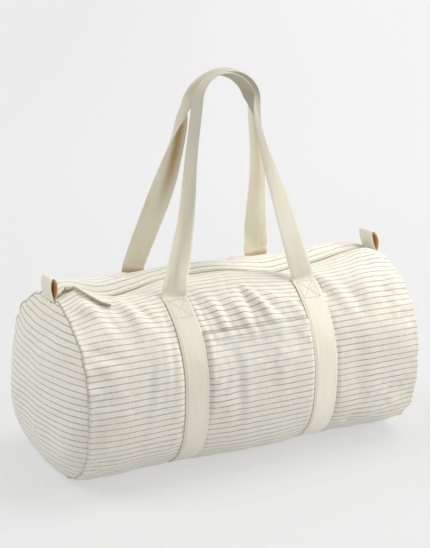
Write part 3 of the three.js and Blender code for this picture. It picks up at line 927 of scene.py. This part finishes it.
def fold_curve(foot, rise):
    """Middles of the strap where it leaves the band and turns up into the leg."""
    start, start_way = foot[-1], unit(foot[-1] - foot[0])
    end, end_way = rise[0], unit(rise[1] - rise[0])
    t = np.linspace(0, 1, FOLD_STEPS + 2)[1:-1, None]
    controls = [start, start + start_way * FOLD_PULL, end - end_way * FOLD_PULL, end]
    weights = [(1 - t) ** 3, 3 * t * (1 - t) ** 2, 3 * t * t * (1 - t), t**3]
    return sum(weight * control for weight, control in zip(weights, controls))


def handle_leg(handle, side, word):
    """The strap from the band's end, round the fold where it leaves the bag, up to the knee."""
    _, direction, length, _ = handle.leg(side)
    straight = np.linspace(12 * MM, handle.knee / direction[1], 46)
    rise, across_rise = handle.leg_points(side, straight)
    s = np.linspace(LEAVE_ARC + 4 * MM, LEAVE_ARC + 2.5 * MM, FOOT_STEPS) * -handle.side
    foot = stacked(side * BAND_X + band_sway(side, s), *on_section(s, BAND_OFFSET))
    middle = np.concatenate([foot, fold_curve(foot, rise), rise])
    flat_rows = FOOT_STEPS + FOLD_STEPS
    flat = np.broadcast_to([-side * 1.0, 0, 0], (flat_rows, 3))
    lean = smooth(0, 1, np.linspace(0, 1, flat_rows))[:, None]
    across = np.concatenate([unit(flat * (1 - lean) + across_rise[0] * lean), across_rise])
    fold_share = np.linspace(0, straight[0] / length, FOLD_STEPS + 1)[:-1]
    share = np.concatenate([np.zeros(FOOT_STEPS), fold_share, straight / length])
    cup = cup_of(handle, side, share) * curl_sign(handle) * -side
    runs = run_lengths(middle)
    # Painted shade on the leg's two faces.
    warm = leg_painted_shade(handle, side, share, runs)
    if side > 0:
        warm = warm[::-1]
    piece = strap(f"{handle.name}_strap_leg_{word}", middle, across, cup, runs, warm)
    # Painted shading along the leg.
    paint_shading_along(piece, leg_painted_shading(handle, side, share))
    finish_piece(piece, handle_webbing, None, [f"{handle.name}_handle_leg_{word}"])
    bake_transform(piece)


def over_arch(left_end, right_end, fade, plain=0.0):
    """Values over the arch that fade from each leg's last value to a plain one."""
    return plain + (left_end - plain) * fade + (right_end - plain) * fade[::-1]


def handle_loop(handle):
    """The strap from one knee over the grip to the other."""
    middles, ways, shares = {}, {}, {}
    for side in (-1, 1):
        _, direction, length, _ = handle.leg(side)
        along = np.linspace(handle.knee / direction[1], length, TURN_STEPS)[:-1]
        middles[side], ways[side] = handle.leg_points(side, along)
        shares[side] = along / length

    def joined(left, arch, right):
        return np.concatenate([left, arch, right[::-1]])

    arch, arch_ways = handle.arch_points(ARCH_STEPS)
    middle = joined(middles[-1], arch, middles[1])
    across = joined(ways[-1], arch_ways, ways[1])
    cups = [cup_of(handle, side, shares[side]) for side in (-1, 1)]
    arch_cup = np.linspace(*[cup_of(handle, side, 1.0) for side in (-1, 1)], ARCH_STEPS)
    cup = joined(cups[0], arch_cup, cups[1]) * curl_sign(handle)
    fade = 1 - smooth(0, 0.13, np.linspace(0, 1, ARCH_STEPS))
    # Painted shade on the legs, fading out across the arch.
    warm = [
        joined(left, over_arch(left[-1:], right[-1:], fade[:, None]), right)
        for left, right in zip(*[leg_painted_shade(handle, side, shares[side]) for side in (-1, 1)])
    ]
    # Painted shading along the legs and over the grip.
    leg_shadings = [leg_painted_shading(handle, side, shares[side]) for side in (-1, 1)]
    grip_shading = over_arch(leg_shadings[0][-1], leg_shadings[1][-1], fade, GRIP_PAINTED_SHADING)
    piece = strap(f"{handle.name}_strap_loop", middle, across, cup, run_lengths(middle), warm)
    paint_shading_along(piece, joined(leg_shadings[0], grip_shading, leg_shadings[1]))
    finish_piece(piece, handle_webbing, None, [f"{handle.name}_handle_loop"])
    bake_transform(piece)


# ---- Stitches ----
def stitches(name, places, ways, ups, length=3.0 * MM, thick=0.75 * MM):
    """One piece of many short thread stitches: each lies at a place, along a way, facing up."""
    shares = np.array([-0.5, -0.38, -0.13, 0.13, 0.38, 0.5])
    fat = np.array([0.12, 0.72, 1.0, 1.0, 0.72, 0.12])
    arch = np.array([-0.35, 0.1, 0.32, 0.32, 0.1, -0.35]) * thick
    angles = np.arange(6) * math.pi / 3
    ways, ups = unit(np.asarray(ways, float)), np.asarray(ups, float)
    ups = unit(ups - ways * np.sum(ups * ways, -1, keepdims=True))
    sides = np.cross(ways, ups)
    points, faces, uv = [], [], []
    per_stitch = len(shares) * len(angles)
    one = tube_faces(len(shares), len(angles))
    for k, (place, way, up, side) in enumerate(zip(places, ways, ups, sides)):
        for share, size, raised in zip(shares, fat, arch):
            middle = place + way * share * length + up * raised
            for angle in angles:
                spoke = side * math.cos(angle) + up * math.sin(angle) * 0.8
                points.append(middle + spoke * size * thick / 2)
                uv.append((share * length, k * 2 * MM))
        faces += [tuple(i + k * per_stitch for i in face) for face in one]
    return mesh_object(name, points, faces, uv)


def dashes(start, end, step=3.7 * MM):
    """Middles of evenly spaced stitches on a straight line between two points of a flat plan."""
    start, end = np.array(start, float), np.array(end, float)
    count = max(1, round(np.linalg.norm(end - start) / step))
    shares = (np.arange(count) + 0.5) / count
    return start + (end - start) * shares[:, None], np.broadcast_to(unit(end - start), (count, 2))


def on_band(x, s, offset):
    """Place and outward direction on the outer face of a band."""
    place = stacked(x, *on_section(s, offset))
    return place, unit(stacked(x, *on_section(s, offset + 1 * MM)) - place)


def lay_on_band(plan, ways, offset):
    """Turns a flat plan of x and s into stitches on the bands."""
    place, up = on_band(plan[:, 0], plan[:, 1], offset)
    ahead, _ = on_band(plan[:, 0] + ways[:, 0] * MM, plan[:, 1] + ways[:, 1] * MM, offset)
    return place, ahead - place, up


BOX_HALF_WIDTH = 14 * MM
BOX_ARCS = [LEAVE_ARC + 7 * MM, LEAVE_ARC + 38 * MM]


def cross_stitch(side, word, handle):
    """The sewn box and cross that holds a strap where its handle leaves it."""
    low, high = (-handle.side * arc for arc in BOX_ARCS)
    left, right = (side * BAND_X + edge * BOX_HALF_WIDTH for edge in (-1, 1))
    corners = [(left, low), (right, low), (right, high), (left, high)]
    runs = [(0, 1), (1, 2), (2, 3), (3, 0), (0, 2), (1, 3)]
    laid = [dashes(corners[a], corners[b]) for a, b in runs]
    plan = np.concatenate([points for points, _ in laid])
    ways = np.concatenate([way for _, way in laid])
    places, ways, ups = lay_on_band(plan, ways, BAND_OFFSET + WEBBING / 2 + 0.15 * MM)
    piece = stitches(f"{handle.name}_box_stitch_{word}", places, ways, ups)
    node = f"cross_stitch_{handle.name}_{word}"
    finish_piece(piece, thread, "root", [node])


def band_stitching(side, word):
    """The two rows of stitches that sew a band to the barrel."""
    low = BOX_ARCS[1] + 5 * MM
    count = round((2 * HALF_ROUND - 2 * low) / (4.2 * MM))
    s = np.linspace(low, 2 * HALF_ROUND - low, count)
    edges = [side * BAND_X + edge * (WEBBING_WIDTH / 2 - 3 * MM) for edge in (-1, 1)]
    plan = np.concatenate([stacked(x, s) for x in edges])
    ways = np.broadcast_to([0.0, 1.0], plan.shape)
    places, ways, ups = lay_on_band(plan, ways, BAND_OFFSET + WEBBING / 2 + 0.02 * MM)
    off_floor = places[:, 2] > 1.2 * MM
    shown = [part[off_floor] for part in (places, ways, ups)]
    piece = stitches(f"band_stitches_{word}", *shown, 2.9 * MM, 0.55 * MM)
    finish_piece(piece, thread, "root")


# ---- Pocket ----
POCKET_HALF = BAND_X - WEBBING_WIDTH / 2 + 3 * MM
HEM = 14 * MM


def pocket_top(x):
    """s of the pocket's top edge, which hangs a little uneven."""
    wave = 1.5 * MM * np.sin(x / (38 * MM) + 0.6)
    return POCKET_ARCS[0] + wave + 1.2 * MM * hump(x, 45 * MM)


def pocket_offset(x, from_top):
    """How far the pocket's canvas stands off the barrel, slack below its top edge."""
    slack = (2.4 * MM + 1.4 * MM * smooth(-60 * MM, 30 * MM, x)) * (1 - (x / POCKET_HALF) ** 6)
    slack = slack * hump(from_top, 24 * MM)
    slack = slack + 0.7 * MM * np.sin(x / (13 * MM) + 1.0) * np.exp(-from_top / (22 * MM))
    held = smooth(POCKET_HALF - 9 * MM, POCKET_HALF - 2 * MM, np.abs(x))
    offset = 1.5 * MM + np.maximum(slack, 0) * (1 - held) - 1.1 * MM * held
    hem = (1 - smooth(HEM - 1.2 * MM, HEM, from_top)) * 0.7 * MM
    groove = 0.6 * MM * hump(from_top, 1.1 * MM, HEM)
    return offset + (hem - groove) * (1 - held)


def pocket():
    """The slip pocket: a layer of canvas between the bands, loose along its hemmed top."""
    depth = POCKET_ARCS[1] - POCKET_ARCS[0]
    hem_rows = np.linspace(0, 20 * MM, 26)[:-1]
    from_top = np.concatenate([hem_rows, np.linspace(20 * MM, depth, 80)])
    x, from_top = np.meshgrid(np.linspace(-POCKET_HALF, POCKET_HALF, 181), from_top, indexing="ij")
    s = pocket_top(x) + from_top * (POCKET_ARCS[1] - pocket_top(x)) / depth
    points = barrel_point(x, s, pocket_offset(x, from_top))
    piece = cloth_grid("pocket_canvas", points, stacked(x, s + 4.1 * MM), flip=True)
    # Painted shade along the pocket's top edge and at its sides beside the bands.
    at_edge = 0.8 * (1 - smooth(0.4 * MM, 1.4 * MM, from_top))
    deepest = np.where(x > 0, BAND_LEFT_EDGE_SHADE, BAND_RIGHT_EDGE_SHADE)
    at_sides = deepest * (1 - smooth(2.8 * MM, 4.8 * MM, POCKET_HALF - np.abs(x)))
    tint(piece, np.maximum(at_edge, at_sides))
    thicken(piece, 1.1 * MM)
    finish_piece(piece, canvas, "root", ["front_pocket"])


def hem_stitching():
    x = np.linspace(-POCKET_HALF + 8 * MM, POCKET_HALF - 8 * MM, 46)
    s = pocket_top(x) + HEM
    offset = pocket_offset(x, np.full_like(x, HEM))
    places = barrel_point(x, s, offset + 0.1 * MM)
    ways = np.gradient(places, axis=0)
    ups = barrel_point(x, s, offset + 1 * MM) - places
    piece = stitches("pocket_hem_stitches", places, ways, ups, 2.7 * MM, 0.6 * MM)
    finish_piece(piece, thread, "root")


# ---- Zip ----
ZIP_HALF_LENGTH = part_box("zip_tape_front")[1].x


def zip_line(x, across, depth):
    """Places beside the zip's middle, below the canvas edge by depth."""
    y, z = on_section(zip_shift(x), -ZIP_DIP - zip_sag(x) - top_droop(x) - depth)
    return stacked(x, y + across, z)


def zip_tape(side, name):
    xs = np.linspace(-ZIP_HALF_LENGTH, ZIP_HALF_LENGTH, 180)
    across = np.linspace(0.9 * MM, 13 * MM, 7)
    x, a = np.meshgrid(xs, across, indexing="ij")
    points = zip_line(x, side * a, 2.3 * MM + 0.9 * MM * smooth(2.6 * MM, 6 * MM, a))
    piece = cloth_grid(f"zip_cloth_{name}", points, stacked(x, a), flip=side > 0)
    thicken(piece, 0.8 * MM)
    finish_piece(piece, zip_cloth, "root", [f"zip_tape_{name}"])


def zip_coil(side, name):
    """One side's nylon coil: a flattened helix sewn along the tape."""
    pitch, thread_radius, sides, per_turn = 2.2 * MM, 0.42 * MM, 5, 9
    turns = int(2 * ZIP_HALF_LENGTH / pitch)
    t = np.arange(turns * per_turn + 1) / per_turn
    x = -ZIP_HALF_LENGTH + t * pitch + (0 if side < 0 else pitch / 2)
    x = np.minimum(x, ZIP_HALF_LENGTH)
    angle = 2 * math.pi * t
    across = side * (1.05 * MM + 1.1 * MM * np.cos(angle))
    middle = zip_line(x, across, 1.2 * MM - 0.75 * MM * np.sin(angle))
    tangent = tangents(middle)
    first = unit(np.cross(tangent, [1.0, 0.1, 0.1]))
    second = np.cross(tangent, first)
    turn = np.arange(sides) * 2 * math.pi / sides
    spokes = first[:, None] * np.cos(turn)[:, None] + second[:, None] * np.sin(turn)[:, None]
    points = middle[:, None] + spokes * thread_radius
    faces = tube_faces(*points.shape[:2])
    piece = mesh_object(f"zip_teeth_{name}", points, faces, stacked(x[:, None], turn * MM))
    finish_piece(piece, nylon, "root", [f"zip_coil_{name}"])


def zip_stop(side, word):
    """The bar of close stitches across each end of the zip."""
    x = side * (ZIP_HALF_LENGTH - 8 * MM) + np.linspace(-1.4, 1.4, 5) * MM
    places = zip_line(x, np.zeros(5), -0.1 * MM)
    ways, ups = (np.broadcast_to(way, (5, 3)) for way in ([0.0, 1, 0], [0.0, 0, 1]))
    piece = stitches(f"zip_bar_tack_{word}", places, ways, ups, 7.6 * MM, 0.85 * MM)
    finish_piece(piece, thread, "root", [f"zip_stop_{word}"])


def slider():
    """The CAD slider, with its edges rounded."""
    piece = frame["nodes"]["zip_slider"]
    piece.data.materials.clear()
    piece.data.materials.append(metal)
    bevel = piece.modifiers.new("edges", "BEVEL")
    bevel.width = 0.35 * MM
    bevel.segments = 2
    bevel.limit_method = "ANGLE"


SLIDER_LOW, SLIDER_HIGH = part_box("zip_slider")
SLIDER_X = (SLIDER_LOW.x + SLIDER_HIGH.x) / 2
BAR_Z = JOINTS["puller_swing"]["pos_m"][2]
EYE_RADIUS = 2 * MM
PULLER_WIDTH = 6.8 * MM
PULLER_THICKNESS = 3.4 * MM
# Where the puller lies, in millimetres: along the bag from the slider, round the section, height.
PULLER_REST = [(0, 24, 5.0), (3, 36, 5.2), (8, 48, 4.9), (15, 58, 4.5), (24, 66, 4.2), (36, 70, 5.0)]


def puller():
    """A folded cotton strip, looped through the slider's bail and lying over the pocket side."""
    eye = [
        (SLIDER_X, -EYE_RADIUS * math.sin(angle), BAR_Z + EYE_RADIUS * math.cos(angle))
        for angle in np.radians([200, 140, 80, 20])
    ]
    off_bail = [(SLIDER_X, -2.2 * MM, BAR_Z - 1.2 * MM), (SLIDER_X, -9 * MM, BAR_Z - 1.4 * MM)]
    laid = [barrel_point(SLIDER_X + x * MM, s * MM, up * MM) for x, s, up in PULLER_REST]
    middle = catmull(eye + off_bail + laid, 90)
    tangent = tangents(middle)
    across = unit(np.cross(tangent, np.broadcast_to([0.25, 0, 1.0], middle.shape)))
    turned = smooth(0.08, 0.3, np.linspace(0, 1, len(middle)))[:, None]
    across = np.array([1.0, 0, 0]) * (1 - turned) + across * turned
    runs = run_lengths(middle)
    # Painted shade along the strip's lower edge, where it lies in shadow over the canvas.
    lower_edge_shade = np.broadcast_to(0.6 * smooth(0.2, 0.9, ACROSS), (len(runs), len(ACROSS)))
    cup = np.full(len(runs), 0.1)
    size = (PULLER_WIDTH, PULLER_THICKNESS)
    piece = strap("puller_strip", middle, across, cup, runs, (lower_edge_shade, lower_edge_shade), *size)
    finish_piece(piece, puller_cotton, "puller", ["zip_puller"])


# ---- Tabs ----
TAB_LEAN = {"left": (-0.5, 0.0), "right": (-6.0, 3.0)}  # x and y of the top, in millimetres
# The folded webbing from one foot over the top to the other: x in millimetres, share of height.
TAB_OUTLINE = [
    (0.9, -0.1), (1.5, 0.02), (3.4, 0.25), (4.7, 0.5), (4.3, 0.72), (2.9, 0.9), (1.0, 0.985),
    (-1.2, 0.98), (-3.3, 0.86), (-4.4, 0.68), (-4.5, 0.48), (-3.4, 0.25), (-1.5, 0.02), (-0.9, -0.1),
]


def tab(side, word):
    """A loop of folded webbing sewn into the end seam over the zip's end."""
    low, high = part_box(f"tab_{word}")
    middle_x = (low.x + high.x) / 2 + end_tuck(low.x, 0.0)
    x, share = catmull(TAB_OUTLINE, 110).T
    lean_x, lean_y = TAB_LEAN[word]
    x = middle_x + (x + lean_x * share**2) * MM
    z = low.z - 0.7 * top_droop(side * SEAM_X) + share * (high.z - low.z)
    middle = stacked(x, lean_y * share * MM, z)
    across = np.broadcast_to([0.0, 1, -0.06], middle.shape)
    runs = run_lengths(middle)
    # Painted shade on the inner face of the tab's loop, strongest halfway up.
    deep = 0.95 * (1 - smooth(0.55, 1.0, np.abs(share - 0.45) * 2))
    inner = np.repeat(deep[:, None], len(ACROSS), axis=1)
    faces = (np.zeros_like(inner), inner)
    piece = strap(f"end_tab_{word}", middle, across, np.full(len(runs), 0.03), runs, faces)
    finish_piece(piece, tab_webbing, "root", [f"tab_{word}"])


# ---- Stage ----
CAMERA_TURN = math.radians(27.7)
CAMERA_RISE = math.radians(16.0)
CAMERA_DISTANCE = 2.4
CAMERA_TARGET = Vector((-0.003, 0, 0.265))
LENS = 103.5
FLOOR_TURN = math.radians(27.7)  # the way in which the floor brightens, from straight back
FLOOR_GLOW = 0.515
FLOOR_GLOW_RISE = 0.06
WORLD_GLOW = 0.57
LIGHT_WHITE = (1.0, 0.995, 1.0)


def stage():
    """A plain pale floor out to the horizon; its glow is painted light that lifts the shadows on it
    and brightens it a little towards the back and the right.
    """
    size = 60.0
    corners = [(-size, -size, 0), (size, -size, 0), (size, size, 0), (-size, size, 0)]
    floor = mesh_object("floor", corners, [(0, 1, 2, 3)], [c[:2] for c in corners])
    paint = Nodes("floor_paint", roughness=1.0)
    ahead, aside = math.cos(FLOOR_TURN), math.sin(FLOOR_TURN)
    back = paint.maths("MULTIPLY_ADD", paint.v, ahead, paint.times(paint.u, aside))
    right = paint.maths("MULTIPLY_ADD", paint.u, ahead, paint.times(paint.v, -aside))
    far = paint.remap(back, -0.4, 2.4, 0.0, 1.0)
    across = paint.remap(right, -0.9, 0.9, 0.4, 1.6)
    glow = paint.maths("MULTIPLY_ADD", paint.times(far, across), FLOOR_GLOW_RISE, FLOOR_GLOW)
    paint.feed(paint.shader.inputs["Emission Color"], (1, 1, 1, 1))
    paint.feed(paint.shader.inputs["Emission Strength"], glow)
    floor.data.materials.append(paint.done((0.21, 0.21, 0.21, 1)))


def aim(name, data, place, target):
    """Puts a light or a camera at a place, looking at a target."""
    holder = bpy.data.objects.new(name, data)
    bpy.context.scene.collection.objects.link(holder)
    holder.location = place
    holder.rotation_mode = "QUATERNION"
    holder.rotation_quaternion = (Vector(target) - Vector(place)).to_track_quat("-Z", "Y")
    return holder


def light(kind, name, place, target, power, **settings):
    """Adds a light of a kind; the settings are its size or spread and its colour."""
    made = bpy.data.lights.new(name, kind)
    made.energy = power
    for key, value in settings.items():
        setattr(made, key, value)
    aim(name, made, place, target)


def lights():
    world = bpy.data.worlds.new("studio")
    bpy.context.scene.world = world
    world.use_nodes = True
    background = world.node_tree.nodes["Background"]
    background.inputs["Color"].default_value = (1.0, 1.0, 1.0, 1)
    background.inputs["Strength"].default_value = WORLD_GLOW
    wide, wider = math.radians(35), math.radians(40)
    light("SUN", "key", (1.0, 0.05, 1.7), (0, 0, 0), 1.62, angle=wide, color=LIGHT_WHITE)
    light("SUN", "behind", (-0.75, 0.5, 0.9), (0, 0, 0), 1.3, angle=wider)
    light("AREA", "right", (1.65, -1.0, 0.85), (0.3, 0, 0.15), 19, size=0.8, color=LIGHT_WHITE)


def camera():
    level = math.cos(CAMERA_RISE)
    back = (-math.sin(CAMERA_TURN) * level, -math.cos(CAMERA_TURN) * level, math.sin(CAMERA_RISE))
    data = bpy.data.cameras.new("camera")
    data.sensor_width = 36
    data.lens = LENS
    data.clip_end = 200
    place = CAMERA_TARGET + Vector(back) * CAMERA_DISTANCE
    bpy.context.scene.camera = aim("camera", data, place, CAMERA_TARGET)


# ---- The bag ----
camera()
lights()
stage()
bpy.context.scene.view_settings.view_transform = "Standard"

barrel()
pocket()
hem_stitching()
handles = [Handle(name) for name in HANDLES]
for bag_side, side_word in ((-1, "left"), (1, "right")):
    end_panel(bag_side, side_word)
    seam_binding(bag_side, side_word)
    band(bag_side, side_word)
    band_stitching(bag_side, side_word)
    tab(bag_side, side_word)
    zip_stop(bag_side, side_word)
    for strap_handle in handles:
        handle_leg(strap_handle, bag_side, side_word)
        cross_stitch(bag_side, side_word, strap_handle)
for strap_handle in handles:
    handle_loop(strap_handle)
    zip_tape(strap_handle.side, strap_handle.name)
    zip_coil(strap_handle.side, strap_handle.name)
slider()
puller()
